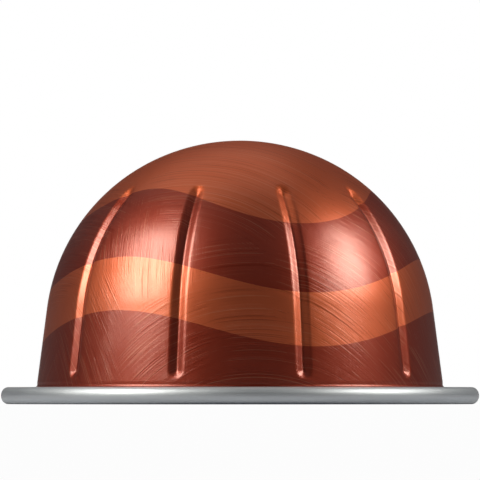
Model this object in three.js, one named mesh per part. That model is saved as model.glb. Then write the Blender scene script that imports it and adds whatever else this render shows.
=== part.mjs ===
// A single-serve coffee pod, standing on its rim with the dome up. Millimetres, +Z up, front towards -Y.
// The origin is the middle of the circle that the rim stands on.
// The cup is drawn from one aluminium sheet: dome, pressed grooves, flange and curled rim in one piece.
// It is sealed with its coffee inside, so it is solid up to the plane that the foil lid is sealed on.
import * as THREE from "three";

const degrees = THREE.MathUtils.degToRad;

// Rim and flange
const RIM_DIAMETER = 62;
const RIM_HEIGHT = 2.2;
const FLANGE_WIDTH = 4.7;
const SHEET = 0.2;
const CURL_BULGE = 0.95;
const CURL_LAND = 0.5;
const CURL_EDGE_GAP = 0.3;

// Domed body
const CUP_HEIGHT = 34.2;
const COLLAR_HEIGHT = 0.65;
const COLLAR_FILLET = 0.35;
const DRAFT_ANGLE = degrees(7.4);
const SHOULDER_RADIUS = 24.9;
const CROWN_HALF_ANGLE = degrees(24);

// Pressed grooves: a crisp valley, softly rounded lips, a round foot and a head that fades out
const GROOVE_COUNT = 10;
const FIRST_GROOVE_ANGLE = degrees(18);
const GROOVE_WIDTH = 2.45;
const GROOVE_DEPTH = 0.45;
const VALLEY_ROUNDING = 0.12;
const LIP_ROUNDING = 0.4;
const GROOVE_FOOT_RISE = 0.9;
const GROOVE_HEAD_DROP = 6.1;
const GROOVE_HEAD_TAPER = 2;

// Foil lid
const FOIL = 0.1;
const LID_CLEARANCE = 0.3;
const SEAL_WIDTH = 2.4;
const LID_BULGE_DEPTH = 0.6;

// Fineness of the mesh: steps round the curl and the fillet, rows up the wall, and columns round the axis
const CURL_OUTER_STEPS = 8;
const CURL_LINING_STEPS = 6;
const CURL_EDGE_STEPS = 4;
const EDGE_LINING_STEPS = 3;
const FILLET_STEPS = 2;
const WALL_ROWS = { belowGrooves: 1, grooveFeet: 3, skirt: 2, shoulder: 6, grooveHeads: 3, crown: 6 };
const STEPS_IN_HALF_GROOVE = 3;
const STEPS_BETWEEN_GROOVES = 4;
const LID_COLUMNS = 44;
const LID_ROWS = 4;
const HALVINGS = 40;

// Derived places: radii from the axis, heights above the ground
const rimRadius = RIM_DIAMETER / 2;
const rimMiddle = RIM_HEIGHT / 2;
const sealHeight = RIM_HEIGHT - SHEET;
const curlOuterCentre = rimRadius - CURL_BULGE;
const curlInnerCentre = curlOuterCentre - CURL_LAND;
const footRadius = rimRadius - FLANGE_WIDTH;
const skirtFoot = RIM_HEIGHT + COLLAR_HEIGHT;

// One rounded side of the curl in section, at the sheet's outer face or, with an inset, at its inner face.
function curlSide(centre, inset, from, to, clockwise) {
  const width = CURL_BULGE - inset;
  const height = rimMiddle - inset;
  return new THREE.EllipseCurve(centre, rimMiddle, width, height, from, to, clockwise);
}

// Section of the rim, from the axis along the seal plane, round the open roll of the curl, and over the
// flange to the collar. The sheet's free edge stops short of the flange, so the roll is hollow and open.
function rimOutline() {
  const edgeAngle = Math.PI - Math.asin((sealHeight - CURL_EDGE_GAP - rimMiddle) / rimMiddle);
  const top = Math.PI / 2;
  const bottom = -Math.PI / 2;
  const filletCentre = [footRadius + COLLAR_FILLET, RIM_HEIGHT + COLLAR_FILLET];
  const fillet = new THREE.EllipseCurve(...filletCentre, COLLAR_FILLET, COLLAR_FILLET, bottom, Math.PI, true);
  return [
    new THREE.Vector2(0, sealHeight),
    ...curlSide(curlOuterCentre, SHEET, top, bottom, true).getPoints(CURL_LINING_STEPS),
    ...curlSide(curlInnerCentre, SHEET, bottom, edgeAngle, true).getPoints(EDGE_LINING_STEPS),
    ...curlSide(curlInnerCentre, 0, edgeAngle, bottom, false).getPoints(CURL_EDGE_STEPS),
    ...curlSide(curlOuterCentre, 0, bottom, top, false).getPoints(CURL_OUTER_STEPS),
    ...fillet.getPoints(FILLET_STEPS),
  ];
}

// The body's wall in section: a drafted skirt, a shoulder arc and a crown arc, each tangent to the next.
function wallCurve() {
  const draft = Math.tan(DRAFT_ANGLE);
  const sine = Math.sin(CROWN_HALF_ANGLE);
  const cosine = Math.cos(CROWN_HALF_ANGLE);
  const shoulderPart = sine - Math.cos(DRAFT_ANGLE) + (cosine - Math.sin(DRAFT_ANGLE)) * draft;
  const straightPart = footRadius - (CUP_HEIGHT - skirtFoot) * draft;
  const crownRadius = (straightPart + SHOULDER_RADIUS * shoulderPart) / (sine - draft + cosine * draft);
  const crownCentre = CUP_HEIGHT - crownRadius;
  const shoulderRight = (crownRadius - SHOULDER_RADIUS) * sine;
  const shoulderUp = crownCentre + (crownRadius - SHOULDER_RADIUS) * cosine;
  const skirtEnd = new THREE.Vector2(
    shoulderRight + SHOULDER_RADIUS * Math.cos(DRAFT_ANGLE),
    shoulderUp + SHOULDER_RADIUS * Math.sin(DRAFT_ANGLE),
  );
  const joint = Math.PI / 2 - CROWN_HALF_ANGLE;
  const arc = (x, y, radius, from, to) => new THREE.EllipseCurve(x, y, radius, radius, from, to);
  const wall = new THREE.CurvePath();
  wall.add(new THREE.LineCurve(new THREE.Vector2(footRadius, skirtFoot), skirtEnd));
  wall.add(arc(shoulderRight, shoulderUp, SHOULDER_RADIUS, DRAFT_ANGLE, joint));
  wall.add(arc(0, crownCentre, crownRadius, joint, Math.PI / 2));
  return wall;
}

const wall = wallCurve();
const wallLength = wall.getLength();
const skirtLength = wall.curves[0].getLength();

// Distance along the wall, from its foot, of the point at a height.
function stationAt(height) {
  let low = 0;
  let high = 1;
  for (let halving = 0; halving < HALVINGS; halving++) {
    const middle = (low + high) / 2;
    if (wall.getPoint(middle).y < height) low = middle;
    else high = middle;
  }
  return low * wallLength;
}

// A groove's two tips, the centre of its round foot, and where its head starts to fade out.
const halfGroove = GROOVE_WIDTH / 2;
const footTip = stationAt(RIM_HEIGHT + GROOVE_FOOT_RISE);
const headTip = stationAt(CUP_HEIGHT - GROOVE_HEAD_DROP);
const footCentre = footTip + halfGroove;
const headStart = headTip - GROOVE_HEAD_TAPER;

// A groove's section, from 1 in its valley to 0 at its lip: straight walls, with the valley and the lips
// rounded over shares of half its width.
function grooveSection(share) {
  const slope = 1 / (1 - (VALLEY_ROUNDING + LIP_ROUNDING) / 2);
  if (share < VALLEY_ROUNDING) return 1 - (slope * share ** 2) / (2 * VALLEY_ROUNDING);
  if (share < 1 - LIP_ROUNDING) return 1 - slope * (share - VALLEY_ROUNDING / 2);
  return (slope * (1 - Math.min(share, 1)) ** 2) / (2 * LIP_ROUNDING);
}

// How deep the sheet is pressed at a distance along the wall and a share of half a groove's width.
function pressedDepth(station, across) {
  const belowFoot = (footCentre - station) / halfGroove;
  const intoHead = (station - headStart) / GROOVE_HEAD_TAPER;
  return GROOVE_DEPTH * grooveSection(Math.hypot(across, Math.max(belowFoot, intoHead, 0)));
}

// Distances after the first and up to the second, in equal steps.
function steps(from, to, count) {
  return Array.from({ length: count }, (_, i) => from + ((to - from) * (i + 1)) / count);
}

// Where the wall has a row of vertices: closest at the round ends of the grooves.
function wallStations() {
  return [
    0,
    ...steps(0, footTip, WALL_ROWS.belowGrooves),
    ...steps(footTip, footCentre, WALL_ROWS.grooveFeet),
    ...steps(footCentre, skirtLength, WALL_ROWS.skirt),
    ...steps(skirtLength, headStart, WALL_ROWS.shoulder),
    ...steps(headStart, headTip, WALL_ROWS.grooveHeads),
    ...steps(headTip, wallLength, WALL_ROWS.crown),
  ];
}

const pitch = (2 * Math.PI) / GROOVE_COUNT;
const columnsPerGroove = 2 * STEPS_IN_HALF_GROOVE + STEPS_BETWEEN_GROOVES;
const columns = GROOVE_COUNT * columnsPerGroove;

// Half the angle that a groove spans at a distance along the wall. Beyond its tips it stays as at the tip.
function halfGrooveAngle(station) {
  const inside = THREE.MathUtils.clamp(station, footTip, headTip);
  return halfGroove / wall.getPoint(inside / wallLength).x;
}

// A column's place from the middle of its groove, as steps across the groove and steps beside it.
function columnPlace(column) {
  const place = (column % columnsPerGroove) - columnsPerGroove / 2;
  const across = THREE.MathUtils.clamp(place, -STEPS_IN_HALF_GROOVE, STEPS_IN_HALF_GROOVE);
  return { across: across / STEPS_IN_HALF_GROOVE, beside: (place - across) / STEPS_BETWEEN_GROOVES };
}

// A solid of revolution turned upright, with the starting line of the sweep at the front.
function lathe(outline, segments) {
  return new THREE.LatheGeometry(outline, segments).rotateX(Math.PI / 2);
}

const RIM_COLOUR = new THREE.Color(0xc4c7cb);
const BODY_COLOUR = new THREE.Color(0x97492c);

// The cup: its section is revolved, then each vertex of the wall is pressed in where it lies in a groove.
function cup() {
  const rim = rimOutline();
  const stations = wallStations();
  const onWall = stations.map((station) => wall.getPoint(station / wallLength));
  const tangents = stations.map((station) => wall.getTangent(station / wallLength));
  onWall.at(-1).x = 0;
  const outline = [...rim, ...onWall];
  const geometry = lathe(outline, columns);
  const position = geometry.getAttribute("position");
  const colours = [];
  for (let vertex = 0; vertex < position.count; vertex++) {
    const column = Math.floor(vertex / outline.length) % columns;
    const row = vertex % outline.length;
    const wallRow = row - rim.length;
    const station = stations[Math.max(wallRow, 0)];
    const halfAngle = halfGrooveAngle(station);
    const { across, beside } = columnPlace(column);
    const middle = FIRST_GROOVE_ANGLE + Math.floor(column / columnsPerGroove) * pitch;
    const angle = middle + across * halfAngle + beside * (pitch - 2 * halfAngle);
    const depth = wallRow < 0 ? 0 : pressedDepth(station, across);
    const tangent = tangents[Math.max(wallRow, 0)];
    const radius = outline[row].x - depth * tangent.y;
    const height = outline[row].y + depth * tangent.x;
    position.setXYZ(vertex, radius * Math.sin(angle), -radius * Math.cos(angle), height);
    colours.push(...(wallRow < 0 ? RIM_COLOUR : BODY_COLOUR).toArray());
  }
  geometry.setAttribute("color", new THREE.Float32BufferAttribute(colours, 3));
  geometry.computeVertexNormals();
  return geometry;
}

// One face of the lid in section, from the axis out: a shallow bulge and the flat seal band round it.
function lidFace(height) {
  const lidRadius = curlInnerCentre - CURL_BULGE - LID_CLEARANCE;
  const bulgeRadius = lidRadius - SEAL_WIDTH;
  const sagAt = (radius) => LID_BULGE_DEPTH * (1 - (radius / bulgeRadius) ** 2);
  const bulge = [0, ...steps(0, bulgeRadius, LID_ROWS)];
  const face = bulge.map((radius) => new THREE.Vector2(radius, height - sagAt(radius)));
  return [...face, new THREE.Vector2(lidRadius, height)];
}

// The lid lies against the seal plane with its flat band, inside the curl.
function lid() {
  return lathe([...lidFace(sealHeight - FOIL), ...lidFace(sealHeight).reverse()], LID_COLUMNS);
}

function named(name, geometry, material) {
  const mesh = new THREE.Mesh(geometry, new THREE.MeshStandardMaterial(material));
  mesh.name = name;
  return mesh;
}

const pod = new THREE.Group();
pod.name = "coffee_pod";
pod.add(
  named("aluminium_cup", cup(), { vertexColors: true, roughness: 0.38, metalness: 0.9 }),
  named("foil_lid", lid(), { color: 0xcfd1d3, roughness: 0.3, metalness: 0.95 }),
);

export default pod;
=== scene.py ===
# Looks of a coffee pod: its drawn cup with a brushed and printed lacquer, and its foil lid.
# Metres, +Z up, the front towards -Y. The origin is the middle of the circle that the rim stands on.
import math

import bpy
import numpy as np
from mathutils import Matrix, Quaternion, Vector


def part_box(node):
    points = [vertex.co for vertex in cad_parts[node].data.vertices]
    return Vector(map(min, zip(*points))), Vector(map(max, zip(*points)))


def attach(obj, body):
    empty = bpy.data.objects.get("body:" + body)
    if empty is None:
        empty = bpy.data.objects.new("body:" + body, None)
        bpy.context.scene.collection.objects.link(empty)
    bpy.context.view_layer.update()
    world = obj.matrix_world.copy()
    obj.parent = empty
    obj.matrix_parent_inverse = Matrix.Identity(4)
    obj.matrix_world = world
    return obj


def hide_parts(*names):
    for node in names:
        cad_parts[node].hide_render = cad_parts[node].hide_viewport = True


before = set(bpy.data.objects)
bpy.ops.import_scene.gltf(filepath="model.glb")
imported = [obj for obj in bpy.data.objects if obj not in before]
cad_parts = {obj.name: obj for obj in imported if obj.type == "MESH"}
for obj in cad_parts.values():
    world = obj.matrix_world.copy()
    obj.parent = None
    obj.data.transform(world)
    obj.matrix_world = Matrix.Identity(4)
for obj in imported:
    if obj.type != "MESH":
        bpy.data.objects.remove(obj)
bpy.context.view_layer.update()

MM = 0.001

# Outer sizes, from the frame
CUP_LOW, CUP_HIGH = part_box("aluminium_cup")
LID_LOW, LID_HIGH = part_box("foil_lid")
RIM_RADIUS = CUP_HIGH.x
CUP_HEIGHT = CUP_HIGH.z
LID_RADIUS = LID_HIGH.x
SEAL_HEIGHT = LID_HIGH.z

# Section of the rim and flange
RIM_HEIGHT = 2.2 * MM
FLANGE_WIDTH = 4.7 * MM
SHEET = 0.2 * MM
CURL_BULGE = 0.95 * MM
CURL_LAND = 0.5 * MM
CURL_EDGE_GAP = 0.3 * MM

# Section of the domed body
COLLAR_HEIGHT = 0.65 * MM
COLLAR_FILLET = 0.35 * MM
DRAFT_ANGLE = math.radians(7.4)
SHOULDER_RADIUS = 24.9 * MM
CROWN_HALF_ANGLE = math.radians(24)

# Pressed grooves: a crisp valley, softly rounded lips, a round foot and a head that fades out
GROOVE_COUNT = 10
FIRST_GROOVE_ANGLE = math.radians(18)
GROOVE_WIDTH = 2.45 * MM
GROOVE_DEPTH = 0.45 * MM
VALLEY_ROUNDING = 0.12
LIP_ROUNDING = 0.4
GROOVE_FOOT_RISE = 0.9 * MM
GROOVE_HEAD_DROP = 6.1 * MM
GROOVE_HEAD_TAPER = 2 * MM

# Fineness of the cup's mesh. The wall's rows are counted below the grooves, in the grooves' feet, up the
# skirt, up the shoulder, in the grooves' heads and over the crown
CURL_STEPS = 24
FLANGE_STEPS = 4
FILLET_STEPS = 6
COLUMNS_IN_GROOVE = 20
COLUMNS_BETWEEN = 24
WALL_ROWS = [3, 14, 18, 40, 20, 36]
HALVINGS = 40
SHARP_ANGLE = math.radians(40)

# Lid, with faint puckers beside its seal: their count, how far their spacing sways and their depth varies,
# and how often these do so round the lid
FOIL = 0.1 * MM
SEAL_WIDTH = 2.4 * MM
LID_BULGE_DEPTH = 0.6 * MM
PUCKER_DEPTH = 0.03 * MM
PUCKER_REACH = 5 * MM
PUCKER_COUNT = 37
PUCKER_SWAY = 1.7
SWAY_COUNT = 5
PUCKER_VARIATION = 0.4
VARIATION_COUNT = 11
VARIATION_START = 2
LID_COLUMNS = 288
BULGE_ROWS = 47
SEAL_ROWS = 5

# The photo's view, from level with the rim
CAMERA_DISTANCE = 750 * MM
CAMERA_HEIGHT = 1.1 * MM
FRAME_MIDDLE = 21.3 * MM
FRAME_WIDTH = 62.31 * MM
SENSOR = 36
CLIP_START = 7.5 * MM

RIM_RIGHT = RIM_RADIUS - CURL_BULGE
RIM_LEFT = RIM_RIGHT - CURL_LAND
RIM_MIDDLE = RIM_HEIGHT / 2
FOOT_RADIUS = RIM_RADIUS - FLANGE_WIDTH
SKIRT_FOOT = RIM_HEIGHT + COLLAR_HEIGHT


def arc(centre, radii, start, end, steps):
    """Points of an ellipse's arc in section, as (radius, height), both ends included."""
    turns = np.linspace(start, end, steps + 1)
    return [(centre[0] + radii[0] * math.cos(t), centre[1] + radii[1] * math.sin(t)) for t in turns]


def curl_side(centre, inset, start, end, steps):
    """One rounded side of the curl, at the sheet's outer face or, with an inset, at its inner face."""
    return arc((centre, RIM_MIDDLE), (CURL_BULGE - inset, RIM_MIDDLE - inset), start, end, steps)


def rim_outline():
    """The rim in section, from the edge of the seal plane round the open roll and over the flange."""
    quarter = math.pi / 2
    edge = math.pi - math.asin((SEAL_HEIGHT - CURL_EDGE_GAP - RIM_MIDDLE) / RIM_MIDDLE)
    flange = np.linspace(RIM_RIGHT, FOOT_RADIUS + COLLAR_FILLET, FLANGE_STEPS + 1)[1:-1]
    return [
        *curl_side(RIM_RIGHT, SHEET, quarter, -quarter, CURL_STEPS // 2),
        *curl_side(RIM_LEFT, SHEET, 3 * quarter, edge, CURL_STEPS // 3),
        *curl_side(RIM_LEFT, 0, edge, 3 * quarter, CURL_STEPS // 3),
        *curl_side(RIM_RIGHT, 0, -quarter, quarter, CURL_STEPS),
        *[(radius, RIM_HEIGHT) for radius in flange],
    ]


def fillet_outline():
    """The fillet in section, from the flange up to the collar."""
    centre = (FOOT_RADIUS + COLLAR_FILLET, RIM_HEIGHT + COLLAR_FILLET)
    return arc(centre, (COLLAR_FILLET, COLLAR_FILLET), -math.pi / 2, -math.pi, FILLET_STEPS)


class Wall:
    """The body's wall in section: a drafted skirt, a shoulder arc and a crown arc, tangent in turn."""

    def __init__(self):
        draft = math.tan(DRAFT_ANGLE)
        sine = math.sin(CROWN_HALF_ANGLE)
        cosine = math.cos(CROWN_HALF_ANGLE)
        shoulder_part = sine - math.cos(DRAFT_ANGLE) + (cosine - math.sin(DRAFT_ANGLE)) * draft
        straight_part = FOOT_RADIUS - (CUP_HEIGHT - SKIRT_FOOT) * draft
        self.crown = (straight_part + SHOULDER_RADIUS * shoulder_part) / (sine - draft + cosine * draft)
        self.crown_centre = CUP_HEIGHT - self.crown
        self.shoulder_right = (self.crown - SHOULDER_RADIUS) * sine
        self.shoulder_up = self.crown_centre + (self.crown - SHOULDER_RADIUS) * cosine
        self.joint = math.pi / 2 - CROWN_HALF_ANGLE
        skirt_top = self.shoulder_up + SHOULDER_RADIUS * math.sin(DRAFT_ANGLE)
        self.skirt_length = (skirt_top - SKIRT_FOOT) / math.cos(DRAFT_ANGLE)
        self.shoulder_length = SHOULDER_RADIUS * (self.joint - DRAFT_ANGLE)
        self.length = self.skirt_length + self.shoulder_length + self.crown * CROWN_HALF_ANGLE

    def at(self, station):
        """(radius, height, angle of the outward normal) at a distance along the wall from its foot."""
        if station <= self.skirt_length:
            radius = FOOT_RADIUS - station * math.sin(DRAFT_ANGLE)
            return radius, SKIRT_FOOT + station * math.cos(DRAFT_ANGLE), DRAFT_ANGLE
        beyond = station - self.skirt_length
        if beyond <= self.shoulder_length:
            turn = DRAFT_ANGLE + beyond / SHOULDER_RADIUS
            radius = self.shoulder_right + SHOULDER_RADIUS * math.cos(turn)
            return radius, self.shoulder_up + SHOULDER_RADIUS * math.sin(turn), turn
        turn = min(self.joint + (beyond - self.shoulder_length) / self.crown, math.pi / 2)
        return self.crown * math.cos(turn), self.crown_centre + self.crown * math.sin(turn), turn

    def station(self, height):
        """Distance along the wall of the point at a height."""
        low, high = 0.0, self.length
        for _ in range(HALVINGS):
            middle = (low + high) / 2
            low, high = (middle, high) if self.at(middle)[1] < height else (low, middle)
        return low


WALL = Wall()
HALF_GROOVE = GROOVE_WIDTH / 2
FOOT_TIP = WALL.station(RIM_HEIGHT + GROOVE_FOOT_RISE)
HEAD_TIP = WALL.station(CUP_HEIGHT - GROOVE_HEAD_DROP)
FOOT_CENTRE = FOOT_TIP + HALF_GROOVE
HEAD_START = HEAD_TIP - GROOVE_HEAD_TAPER


def groove_section(share):
    """A groove's depth across it, 1 in the valley and 0 at the lips: straight walls with rounded edges."""
    slope = 1 / (1 - (VALLEY_ROUNDING + LIP_ROUNDING) / 2)
    valley = 1 - slope * share**2 / (2 * VALLEY_ROUNDING)
    side = 1 - slope * (share - VALLEY_ROUNDING / 2)
    lip = slope * (1 - np.minimum(share, 1)) ** 2 / (2 * LIP_ROUNDING)
    return np.where(share < VALLEY_ROUNDING, valley, np.where(share < 1 - LIP_ROUNDING, side, lip))


def pressed_depth(station, across):
    """How deep the sheet is pressed at a distance along the wall, at shares of half a groove's width."""
    below_foot = (FOOT_CENTRE - station) / HALF_GROOVE
    into_head = (station - HEAD_START) / GROOVE_HEAD_TAPER
    return GROOVE_DEPTH * groove_section(np.hypot(across, max(below_foot, into_head, 0)))


def wall_stations():
    """Where the wall has a row of vertices: closest at the round ends of the grooves."""
    marks = [0, FOOT_TIP, FOOT_CENTRE, WALL.skirt_length, HEAD_START, HEAD_TIP, WALL.length]
    stations = [0.0]
    for low, high, count in zip(marks, marks[1:], WALL_ROWS):
        stations += list(np.linspace(low, high, count + 1)[1:])
    return stations[:-1]


def columns():
    """Each column's place, in three lists: the middle of its groove, its share of half the groove's width,
    and its share of the way from this groove's lip to the next groove's."""
    inside = np.linspace(-1, 1, COLUMNS_IN_GROOVE + 1)
    between = np.linspace(0, 1, COLUMNS_BETWEEN + 2)[1:-1]
    middles = FIRST_GROOVE_ANGLE + 2 * math.pi / GROOVE_COUNT * np.arange(GROOVE_COUNT)
    across = np.concatenate([inside, np.ones(COLUMNS_BETWEEN)])
    beside = np.concatenate([np.zeros(COLUMNS_IN_GROOVE + 1), between])
    return np.repeat(middles, len(across)), np.tile(across, GROOVE_COUNT), np.tile(beside, GROOVE_COUNT)


MIDDLES, ACROSS, BESIDE = columns()


def column_angles(station):
    """Each column's angle round the axis at a distance along the wall."""
    radius = WALL.at(min(max(station, FOOT_TIP), HEAD_TIP))[0]
    half_angle = HALF_GROOVE / radius
    return MIDDLES + ACROSS * half_angle + BESIDE * (2 * math.pi / GROOVE_COUNT - 2 * half_angle)


def revolved(name, low_tip, rows, high_tip):
    """A closed mesh between two points on the axis, from rows of (angles, radius, height)."""
    rings = []
    for angles, radius, height in rows:
        x, y = radius * np.sin(angles), -radius * np.cos(angles)
        rings.append(np.stack([x, y, np.broadcast_to(height, x.shape)], axis=1))
    points = np.concatenate([[(0.0, 0.0, low_tip)], *rings, [(0.0, 0.0, high_tip)]])
    count = len(rings[0])
    column = np.arange(count)
    after = (column + 1) % count
    faces = [(0, int(1 + a), int(1 + b)) for a, b in zip(after, column)]
    for ring in range(len(rings) - 1):
        low = 1 + ring * count
        high = low + count
        corners = (low + column, low + after, high + after, high + column)
        faces += zip(*(corner.tolist() for corner in corners))
    top = len(points) - 1
    low = top - count
    faces += [(int(low + a), int(low + b), top) for a, b in zip(column, after)]
    mesh = bpy.data.meshes.new(name)
    mesh.from_pydata(points.tolist(), [], faces)
    mesh.polygons.foreach_set("use_smooth", [True] * len(mesh.polygons))
    piece = bpy.data.objects.new(name, mesh)
    bpy.context.scene.collection.objects.link(piece)
    return piece


def make_cup():
    """The cup, with the printed lacquer from the fillet up and bare metal below it."""
    foot_angles = column_angles(0)
    bare_rows = [(foot_angles, radius, height) for radius, height in rim_outline()]
    rows = bare_rows + [(foot_angles, radius, height) for radius, height in fillet_outline()]
    for station in wall_stations():
        radius, height, turn = WALL.at(station)
        depth = pressed_depth(station, ACROSS)
        angles = column_angles(station)
        rows.append((angles, radius - depth * math.cos(turn), height - depth * math.sin(turn)))
    cup = revolved("printed_cup", SEAL_HEIGHT, rows, CUP_HEIGHT)
    bare = len(foot_angles) * (len(bare_rows) + 1)
    printed = len(cup.data.polygons) - bare
    cup.data.polygons.foreach_set("material_index", [0] * bare + [1] * printed)
    cup.data.set_sharp_from_angle(angle=SHARP_ANGLE)
    return cup


def lid_face(height, angles):
    """Rows of one face of the lid from the axis out: a bulge, puckered by the seal, and the flat band."""
    bulge_radius = LID_RADIUS - SEAL_WIDTH
    bulge_radii = np.linspace(0, bulge_radius, BULGE_ROWS + 1)[1:]
    seal_radii = np.linspace(bulge_radius, LID_RADIUS, SEAL_ROWS + 1)[1:]
    folds = np.sin(PUCKER_COUNT * angles + PUCKER_SWAY * np.sin(SWAY_COUNT * angles))
    variation = np.sin(VARIATION_COUNT * angles + VARIATION_START)
    folds *= 1 - PUCKER_VARIATION + PUCKER_VARIATION * variation
    rows = []
    for radius in [*bulge_radii, *seal_radii]:
        inside = max(bulge_radius - radius, 0)
        sag = LID_BULGE_DEPTH * (1 - min(radius / bulge_radius, 1) ** 2)
        reach = math.exp(-inside / PUCKER_REACH) * min(inside / SEAL_WIDTH, 1)
        rows.append((angles, radius, height - sag + PUCKER_DEPTH * reach * folds))
    return rows


def make_lid():
    """The lid, a thin sheet with two puckered faces."""
    angles = np.linspace(0, 2 * math.pi, LID_COLUMNS, endpoint=False)
    rows = [*lid_face(SEAL_HEIGHT - FOIL, angles), *lid_face(SEAL_HEIGHT, angles)[::-1]]
    low_tip = SEAL_HEIGHT - FOIL - LID_BULGE_DEPTH
    lid = revolved("sealed_foil_lid", low_tip, rows, SEAL_HEIGHT - LID_BULGE_DEPTH)
    lid.data.set_sharp_from_angle(angle=SHARP_ANGLE)
    return lid


# Places of a Mix node's sockets, for numbers and for colours: the share, the two values and the result
NUMBER_INPUTS = (0, 2, 3)
NUMBER_OUTPUT = 0
COLOUR_INPUTS = (0, 6, 7)
COLOUR_OUTPUT = 2


class Graph:
    """Shader nodes built by calls. Each call returns the output socket of the node that it adds."""

    def __init__(self, tree):
        self.tree = tree
        self.tree.nodes.clear()

    def put(self, socket, value):
        if isinstance(value, bpy.types.NodeSocket):
            self.tree.links.new(value, socket)
        else:
            socket.default_value = value

    def node(self, kind, output=0, **inputs):
        made = self.tree.nodes.new(kind)
        for name, value in inputs.items():
            self.put(made.inputs[name.replace("_", " ")], value)
        return made.outputs[output]

    def math(self, operation, *values):
        made = self.tree.nodes.new("ShaderNodeMath")
        made.operation = operation
        for socket, value in zip(made.inputs, values):
            self.put(socket, value)
        return made.outputs[0]

    def vector(self, operation, *values, output=0):
        made = self.tree.nodes.new("ShaderNodeVectorMath")
        made.operation = operation
        for socket, value in zip(made.inputs, values):
            self.put(socket, value)
        return made.outputs[output]

    def scaled(self, vector, scale):
        made = self.vector("SCALE", vector)
        made.node.inputs["Scale"].default_value = scale
        return made

    def add(self, *values):
        total = values[0]
        for value in values[1:]:
            total = self.math("ADD", total, value)
        return total

    def mul(self, a, b):
        return self.math("MULTIPLY", a, b)

    def ramp(self, value, low, high, to_low=0.0, to_high=1.0, smooth=True):
        """A value carried from one range to another, and held at the ends."""
        made = self.tree.nodes.new("ShaderNodeMapRange")
        made.interpolation_type = "SMOOTHSTEP" if smooth else "LINEAR"
        for socket, item in zip(made.inputs, (value, low, high, to_low, to_high)):
            self.put(socket, item)
        return made.outputs[0]

    def mix(self, share, a, b):
        """A colour between two."""
        made = self.tree.nodes.new("ShaderNodeMix")
        made.data_type = "RGBA"
        for index, value in zip(COLOUR_INPUTS, (share, a, b)):
            self.put(made.inputs[index], value)
        return made.outputs[COLOUR_OUTPUT]

    def blend(self, share, a, b):
        """A number between two."""
        made = self.tree.nodes.new("ShaderNodeMix")
        for index, value in zip(NUMBER_INPUTS, (share, a, b)):
            self.put(made.inputs[index], value)
        return made.outputs[NUMBER_OUTPUT]

    def noise(self, vector, scale=1.0, detail=2.0, roughness=0.5):
        sizes = {"Scale": scale, "Detail": detail, "Roughness": roughness}
        return self.node("ShaderNodeTexNoise", Vector=vector, **sizes)

    def place(self):
        """The point's place in the object's own frame."""
        return self.node("ShaderNodeTexCoord", output="Object")

    def parts(self, vector):
        """A vector's parts, by the names X, Y and Z."""
        return self.node("ShaderNodeSeparateXYZ", Vector=vector).node.outputs

    def shader(self, **inputs):
        made = self.tree.nodes.new("ShaderNodeBsdfPrincipled")
        for name, value in inputs.items():
            self.put(made.inputs[name.replace("_", " ")], value)
        output = self.tree.nodes.new("ShaderNodeOutputMaterial")
        self.tree.links.new(made.outputs[0], output.inputs[0])


def new_graph(name):
    material = bpy.data.materials.new(name)
    material.use_nodes = True
    return material, Graph(material.node_tree)


# Fields of brush strokes on the body: where each has its middle (degrees round the axis from the front,
# height in mm), how its strokes lie there (degrees from level, rising to the right), the radius of the
# circle that they bend round (mm) and how far the field reaches (mm). The first covers the whole body
BRUSH_FIELDS = [
    (0, 20, 4, 60, 200),
    (-40, 20, -76, 70, 11),
    (38, 17, -34, 90, 12),
    (0, 30, -24, 80, 13),
    (-48, 8, -55, 60, 9),
    (-22, 7, 34, 30, 7),
    (75, 20, -60, 60, 14),
    (-90, 22, 20, 60, 15),
    (120, 14, 30, 60, 18),
    (165, 20, -30, 70, 18),
    (-140, 14, -50, 60, 18),
]
FIELD_FULL = 2 * MM
FIELD_GONE = 8 * MM
FIELD_RAGGEDNESS = 10 * MM
FIELD_RAGS = 180.0

# Strokes to the metre across and along a brush's way, for a fine and a coarse brush. The levels are where
# the coarse one's strokes start to be, and fully are, raised scratches with a painted glint, or duller
# hollow furrows with painted shade
FINE_BRUSH = (12000.0, 170.0)
COARSE_BRUSH = (6500.0, 100.0)
FIELD_OFFSET = 7
STROKE_DETAIL = 2.5
STROKE_ROUGHNESS = 0.6
# Painted glint: the scratches' lighter, paler tone stands for light caught by the raised strokes
SCRATCH_GLINT_LEVELS = (0.57, 0.65)
SCRATCH_GLINT_TONE = (0.90, 0.42, 0.26, 1)
SCRATCH_GLINT_SHARE = 0.18
# Painted shade: the furrows' darker tone stands for shade in the hollow strokes; the furrows are also less
# glossy
FURROW_SHADE_LEVELS = (0.43, 0.36)
FURROW_SHADE_TONE = (0.16, 0.012, 0.005, 1)
FURROW_SHADE_SHARE = 0.4
FURROW_GLOSS = 0.45
FINE_RELIEF = 0.5
BRUSH_BUMP = 0.9
BRUSH_DEPTH = 0.03 * MM


def brush_centre(turn, height, slant, bend):
    """(middle of a field of strokes, middle of the circles that they follow), in metres."""
    turn, slant = math.radians(turn), math.radians(slant)
    radius, z, normal_turn = WALL.at(WALL.station(height * MM))
    out = Vector((math.sin(turn), -math.cos(turn), 0))
    right = Vector((math.cos(turn), math.sin(turn), 0))
    up = out * -math.sin(normal_turn) + Vector((0, 0, math.cos(normal_turn)))
    middle = out * radius + Vector((0, 0, z))
    across = up * math.cos(slant) - right * math.sin(slant)
    return middle, middle - across * bend * MM


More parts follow.
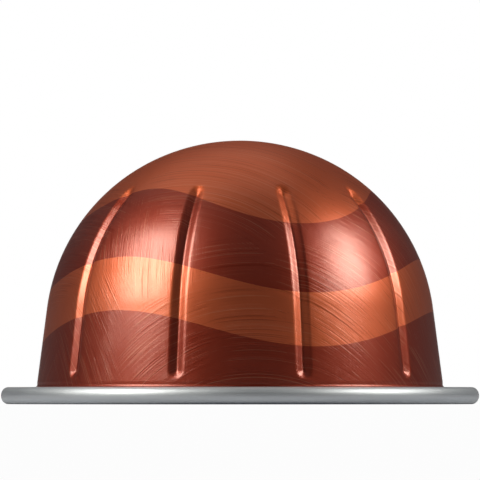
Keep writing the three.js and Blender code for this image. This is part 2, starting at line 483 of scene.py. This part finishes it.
def brush_strokes(graph, place, brush):
    """Grey strokes, fine across and long along, with a direction that changes from field to field."""
    fineness, stretch = brush
    strokes = None
    for index, (turn, height, slant, bend, reach) in enumerate(BRUSH_FIELDS):
        middle, centre = brush_centre(turn, height, slant, bend)
        ring = graph.vector("DISTANCE", place, centre, output="Value")
        along = graph.scaled(place, stretch)
        offset = float(index * FIELD_OFFSET)
        across = graph.node("ShaderNodeCombineXYZ", X=graph.mul(ring, fineness), Y=offset, Z=0.0)
        lay = graph.vector("ADD", along, across)
        field = graph.noise(lay, detail=STROKE_DETAIL, roughness=STROKE_ROUGHNESS)
        if strokes is None:
            strokes = field
            continue
        ragged = graph.mul(graph.noise(place, scale=FIELD_RAGS), FIELD_RAGGEDNESS)
        away = graph.add(graph.vector("DISTANCE", place, middle, output="Value"), ragged)
        inside = graph.ramp(away, reach * MM + FIELD_GONE, reach * MM + FIELD_FULL)
        strokes = graph.blend(inside, strokes, field)
    return strokes


# The print: a plain wavy stripe of the light tone round the dark body, and a light crown with the same wave
WAVE_COUNT = 3
WAVE_SWING = 2.3 * MM
WAVE_CREST = math.radians(-38)
CROWN_EDGE = 25.2 * MM
STRIPE_MIDDLE = 13.0 * MM
STRIPE_HALF_DEPTH = 3.4 * MM
PRINT_EDGE = 0.04 * MM
LIGHT_TONE = (0.72, 0.140, 0.046, 1)
DARK_TONE = (0.35, 0.033, 0.008, 1)

# The lacquer, whose gloss fades over the crown, on satin metal
GLOSS_FULL = 22 * MM
GLOSS_LOW = 31 * MM
CROWN_GLOSS = 0.25
LACQUER_ROUGHNESS = 0.26
LACQUER_IOR = 1.85
BRUSHED_ROUGHNESS = (0.42, 0.50)

# The part of a noise's range that most of it lies in
NOISE_SPREAD = (0.3, 0.7)


def print_share(graph, turn, height):
    """1 where the print is of the light tone and 0 where it is dark."""
    phase = graph.mul(graph.math("SUBTRACT", turn, WAVE_CREST), float(WAVE_COUNT))
    level = graph.math("SUBTRACT", height, graph.mul(graph.math("COSINE", phase), WAVE_SWING))
    crown = graph.ramp(level, CROWN_EDGE - PRINT_EDGE, CROWN_EDGE + PRINT_EDGE)
    from_middle = graph.math("ABSOLUTE", graph.math("SUBTRACT", level, STRIPE_MIDDLE))
    stripe = graph.ramp(from_middle, STRIPE_HALF_DEPTH + PRINT_EDGE, STRIPE_HALF_DEPTH - PRINT_EDGE)
    return graph.math("MAXIMUM", crown, stripe)


def printed_aluminium():
    """Brushed aluminium under tinted, glossy lacquer, in two tones."""
    material, graph = new_graph("printed_aluminium")
    place = graph.place()
    split = graph.parts(place)
    turn = graph.math("ARCTAN2", split["X"], graph.mul(split["Y"], -1.0))
    light = print_share(graph, turn, split["Z"])
    fine = brush_strokes(graph, place, FINE_BRUSH)
    coarse = brush_strokes(graph, place, COARSE_BRUSH)
    # The strokes are the brushing; their lighter tone on the raised strokes is a painted glint
    scratch_glint = graph.ramp(coarse, *SCRATCH_GLINT_LEVELS)
    # The darker tone in the hollow strokes is painted shade; their lower gloss is the lacquer's own
    furrow_shade = graph.ramp(coarse, *FURROW_SHADE_LEVELS)
    tone = graph.mix(light, DARK_TONE, LIGHT_TONE)
    tone = graph.mix(graph.mul(scratch_glint, SCRATCH_GLINT_SHARE), tone, SCRATCH_GLINT_TONE)
    tone = graph.mix(graph.mul(furrow_shade, FURROW_SHADE_SHARE), tone, FURROW_SHADE_TONE)
    gloss = graph.ramp(split["Z"], GLOSS_FULL, GLOSS_LOW, 1.0, CROWN_GLOSS)
    gloss = graph.mul(gloss, graph.ramp(furrow_shade, 0.0, 1.0, 1.0, FURROW_GLOSS, smooth=False))
    worn = graph.ramp(fine, *NOISE_SPREAD, *BRUSHED_ROUGHNESS, smooth=False)
    relief = graph.add(graph.mul(fine, FINE_RELIEF), coarse)
    bump = graph.node("ShaderNodeBump", Height=relief, Strength=BRUSH_BUMP, Distance=BRUSH_DEPTH)
    graph.shader(
        Base_Color=tone, Metallic=1.0, Roughness=worn, Normal=bump,
        Coat_Weight=gloss, Coat_Roughness=LACQUER_ROUGHNESS, Coat_IOR=LACQUER_IOR, Coat_Normal=bump,
    )
    return material


# Rolled metal of the rim: fine lines and slow clouds, in cycles to the metre
RIM_LINES = 9000.0
RIM_DRIFT = 60.0
RIM_CLOUDS = 140.0
CLOUD_DETAIL = 3.0
CLOUD_SHARE = 0.5
RIM_TONES = [(0.64, 0.69, 0.78, 1), (0.78, 0.84, 0.93, 1)]
RIM_ROUGHNESS = (0.46, 0.58)
RIM_BUMP = 0.35
RIM_GRAIN_DEPTH = 0.006 * MM

# Foil of the lid: straight rolling lines and a fine peel, in cycles to the metre
FOIL_LINES = (8000.0, 120.0, 120.0)
FOIL_PEEL = 900.0
FOIL_TONES = [(0.74, 0.75, 0.77, 1), (0.86, 0.87, 0.88, 1)]
FOIL_ROUGHNESS = (0.20, 0.32)
FOIL_LINE_RELIEF = 0.3
FOIL_BUMP = 0.4
FOIL_GRAIN_DEPTH = 0.01 * MM


def bare_aluminium():
    """Rolled aluminium, satin, with fine lines that run round the rim."""
    material, graph = new_graph("bare_aluminium")
    place = graph.place()
    split = graph.parts(place)
    level = graph.node("ShaderNodeCombineXYZ", X=split["X"], Y=split["Y"], Z=0.0)
    radius = graph.vector("LENGTH", level, output="Value")
    lines = graph.node("ShaderNodeCombineXYZ", X=radius, Y=split["Z"], Z=0.0)
    lines = graph.scaled(lines, RIM_LINES)
    slow = graph.scaled(place, RIM_DRIFT)
    rolled = graph.noise(graph.vector("ADD", lines, slow))
    cloud = graph.noise(place, scale=RIM_CLOUDS, detail=CLOUD_DETAIL)
    tone = graph.mix(rolled, *RIM_TONES)
    wear = graph.blend(CLOUD_SHARE, rolled, cloud)
    worn = graph.ramp(wear, *NOISE_SPREAD, *RIM_ROUGHNESS, smooth=False)
    bump = graph.node("ShaderNodeBump", Height=rolled, Strength=RIM_BUMP, Distance=RIM_GRAIN_DEPTH)
    graph.shader(Base_Color=tone, Metallic=1.0, Roughness=worn, Normal=bump)
    return material


def lid_foil():
    """Thin rolled foil: faint straight rolling lines and a slight orange peel from the sealing."""
    material, graph = new_graph("lid_foil")
    place = graph.place()
    lines = graph.noise(graph.vector("MULTIPLY", place, FOIL_LINES))
    peel = graph.noise(place, scale=FOIL_PEEL)
    tone = graph.mix(lines, *FOIL_TONES)
    worn = graph.ramp(lines, *NOISE_SPREAD, *FOIL_ROUGHNESS, smooth=False)
    relief = graph.add(graph.mul(lines, FOIL_LINE_RELIEF), peel)
    bump = graph.node("ShaderNodeBump", Height=relief, Strength=FOIL_BUMP, Distance=FOIL_GRAIN_DEPTH)
    graph.shader(Base_Color=tone, Metallic=1.0, Roughness=worn, Normal=bump)
    return material


# Softboxes close to the pod: degrees round from the front, above the floor and rolled clockwise as the pod
# sees it, width and height in mm, and radiance
SOFTBOX_DISTANCE = 118 * MM
SOFTBOX_COLOUR = (1.0, 0.94, 0.80)
SOFTBOXES = {
    "softbox_left": (-58, 30, -8, 58, 80, 6.1),
    "softbox_right": (72, 29, 30, 42, 64, 7.4),
    "softbox_top": (-160, 72, 0, 100, 100, 0.42),
}


def softbox(name, turn, rise, roll, width, height, radiance):
    """A rectangular lamp that faces the middle of the pod."""
    lamp = bpy.data.lights.new(name, "AREA")
    lamp.shape = "RECTANGLE"
    lamp.size = width * MM
    lamp.size_y = height * MM
    lamp.color = SOFTBOX_COLOUR
    lamp.energy = radiance * math.pi * lamp.size * lamp.size_y
    turn, rise = math.radians(turn), math.radians(rise)
    away = Vector((math.sin(turn) * math.cos(rise), -math.cos(turn) * math.cos(rise), math.sin(rise)))
    box = bpy.data.objects.new(name, lamp)
    box.location = away * SOFTBOX_DISTANCE + Vector((0, 0, CUP_HEIGHT / 2))
    rolled = Quaternion((0, 0, 1), math.radians(-roll))
    box.rotation_euler = (away.to_track_quat("Z", "Y") @ rolled).to_euler()
    box.visible_camera = False
    bpy.context.scene.collection.objects.link(box)


# What the world shows the metal: its levels low down in front and behind, and high up in front and behind,
# where each of these changes, and where the white backdrop straight behind starts
LOW_LEVELS = (0.015, 0.055)
LOW_CHANGE = (-0.6, 0.2)
HIGH_LEVELS = (0.06, 0.12)
HIGH_CHANGE = (-0.3, 0.7)
UP_CHANGE = (0.3, 0.8)
BACKDROP_EDGE = (0.98, 0.998)
WORLD_DIFFUSE = 0.55


def make_world():
    """White where the camera looks past the pod and where the metal mirrors the backdrop, dim elsewhere."""
    world = bpy.data.worlds.new("studio")
    bpy.context.scene.world = world
    world.use_nodes = True
    graph = Graph(world.node_tree)
    rays = graph.node("ShaderNodeLightPath").node.outputs
    aim = graph.parts(graph.node("ShaderNodeTexCoord", output="Generated"))
    low = graph.ramp(aim["Y"], *LOW_CHANGE, *LOW_LEVELS)
    high = graph.ramp(aim["Y"], *HIGH_CHANGE, *HIGH_LEVELS)
    level = graph.blend(graph.ramp(aim["Z"], *UP_CHANGE), low, high)
    mirrored = graph.blend(graph.ramp(aim["Y"], *BACKDROP_EDGE), level, 1.0)
    seen = graph.math("MAXIMUM", rays["Is Glossy Ray"], rays["Is Transmission Ray"])
    light = graph.blend(seen, WORLD_DIFFUSE, mirrored)
    light = graph.blend(rays["Is Camera Ray"], light, 1.0)
    back = world.node_tree.nodes.new("ShaderNodeBackground")
    graph.put(back.inputs["Color"], light)
    output = world.node_tree.nodes.new("ShaderNodeOutputWorld")
    world.node_tree.links.new(back.outputs[0], output.inputs[0])


FLOOR_SIZE = 3.0
FLOOR_CLOUDS = 40.0
FLOOR_TONES = [(0.37, 0.37, 0.37, 1), (0.41, 0.41, 0.41, 1)]
FLOOR_LIFT = 0.97


def make_floor():
    """A pale floor that the camera sees nearly white, with the pod's shadow kept on it."""
    bpy.ops.mesh.primitive_plane_add(size=FLOOR_SIZE, location=(0, 0, 0))
    floor = bpy.context.object
    floor.name = "floor"
    material, graph = new_graph("pale_floor")
    tone = graph.mix(graph.noise(graph.place(), scale=FLOOR_CLOUDS), *FLOOR_TONES)
    matt = graph.node("ShaderNodeBsdfDiffuse", Color=tone)
    glow = graph.node("ShaderNodeEmission", Color=(1, 1, 1, 1), Strength=1.0)
    rays = graph.node("ShaderNodeLightPath").node.outputs
    share = graph.mul(rays["Is Camera Ray"], FLOOR_LIFT)
    both = graph.tree.nodes.new("ShaderNodeMixShader")
    for socket, value in zip(both.inputs, (share, matt, glow)):
        graph.put(socket, value)
    output = graph.tree.nodes.new("ShaderNodeOutputMaterial")
    graph.tree.links.new(both.outputs[0], output.inputs[0])
    floor.data.materials.append(material)


def make_camera():
    """A long lens in front of the pod, tilted up to the middle of the frame."""
    data = bpy.data.cameras.new("camera")
    data.sensor_width = SENSOR
    data.lens = SENSOR * CAMERA_DISTANCE / FRAME_WIDTH
    data.clip_start = CLIP_START
    camera = bpy.data.objects.new("camera", data)
    camera.location = (0, -CAMERA_DISTANCE, CAMERA_HEIGHT)
    tilt = math.atan((FRAME_MIDDLE - CAMERA_HEIGHT) / CAMERA_DISTANCE)
    camera.rotation_euler = (math.pi / 2 + tilt, 0, 0)
    bpy.context.scene.collection.objects.link(camera)
    bpy.context.scene.camera = camera


make_camera()
bpy.context.scene.view_settings.view_transform = "Standard"

cup = make_cup()
cup.data.materials.append(bare_aluminium())
cup.data.materials.append(printed_aluminium())
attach(cup, "root")
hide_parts("aluminium_cup")

lid = make_lid()
lid.data.materials.append(lid_foil())
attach(lid, "root")
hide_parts("foil_lid")

for name, values in SOFTBOXES.items():
    softbox(name, *values)
make_world()
make_floor()
